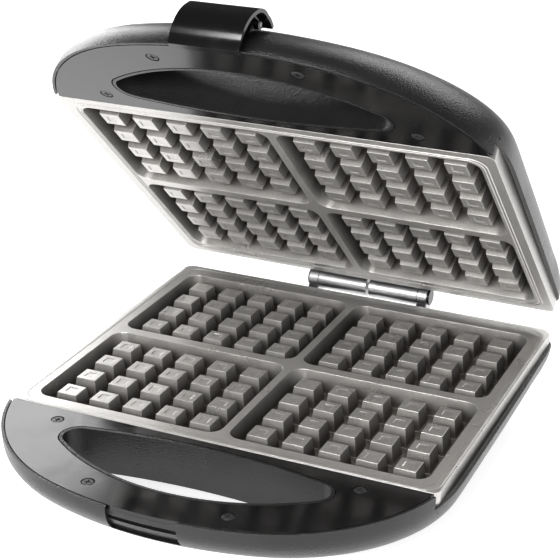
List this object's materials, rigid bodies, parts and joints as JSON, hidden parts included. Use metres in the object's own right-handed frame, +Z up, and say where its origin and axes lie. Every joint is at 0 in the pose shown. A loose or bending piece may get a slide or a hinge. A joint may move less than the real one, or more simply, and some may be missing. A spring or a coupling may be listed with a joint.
{
  "type": "waffle maker",
  "caption": "Electric waffle maker standing open: hinged black housings with gridded cooking plates, finger-hole grips, an arched latch, heating parts inside and rubber feet.",
  "frame": {"origin": "on the table under the middle of the standing object's box, lid at rest 43 degrees open", "axes": "+X to the user's right, +Y from the grips towards the hinge, +Z up"},
  "size_m": [0.258, 0.3214, 0.2756],
  "materials": {
    "housing": "fine textured",
    "grip_trim": "polished",
    "cooking_plate": "satin non-stick coated die casting",
    "element": "heat-darkened sheath",
    "bright_sheet": "rolled sheet",
    "dark_screw": "black zinc",
    "steel": "turned",
    "thermostat": "pressed",
    "fuse_sleeve": "woven glass sleeve",
    "ceramic": "unglazed ceramic",
    "lead_insulation": "silicone",
    "rubber": "moulded",
    "red_lens": "clear coloured",
    "green_lens": "clear coloured",
    "lamp_glass": "clear",
    "bracket": "moulded",
    "latch": "polished"
  },
  "bodies": {
    "base": {"base_housing": "housing", "base_grip_trim": "grip_trim", "base_trim_screws": "dark_screw", "lower_cooking_plate": "cooking_plate", "lower_heating_element": "element", "lower_element_clamps": "bright_sheet", "lower_heat_reflector": "bright_sheet", "lower_reflector_screws": "steel", "thermostat": "thermostat", "thermal_fuse": "fuse_sleeve", "terminal_block": "ceramic", "base_wiring": "lead_insulation", "cord_gland": "rubber", "rubber_feet": "rubber", "hinge_pin_left": "steel", "hinge_pin_right": "steel", "hinge_end_caps": "grip_trim"},
    "lid": {"lid_housing": "housing", "lid_grip_trim": "grip_trim", "lid_trim_screws": "dark_screw", "upper_cooking_plate": "cooking_plate", "upper_heating_element": "element", "upper_element_clamps": "bright_sheet", "upper_heat_reflector": "bright_sheet", "upper_reflector_screws": "steel", "lid_wiring": "lead_insulation", "lamp_holder": "bracket", "neon_lamps": "lamp_glass", "power_lamp_lens": "red_lens", "ready_lamp_lens": "green_lens", "latch_pin": "steel"},
    "latch_clip": {"latch": "latch"}
  },
  "joints": [
    {"name": "lid_hinge", "type": "hinge", "parent": "base", "child": "lid", "pos_m": [0, 0.14857, 0.0469], "axis": [-1, 0, 0], "range_deg": [-43, 60]},
    {"name": "latch_pivot", "type": "hinge", "parent": "lid", "child": "latch_clip", "pos_m": [0, -0.05634, 0.26602], "axis": [1, 0, 0], "range_deg": [0, 17]}
  ]
}
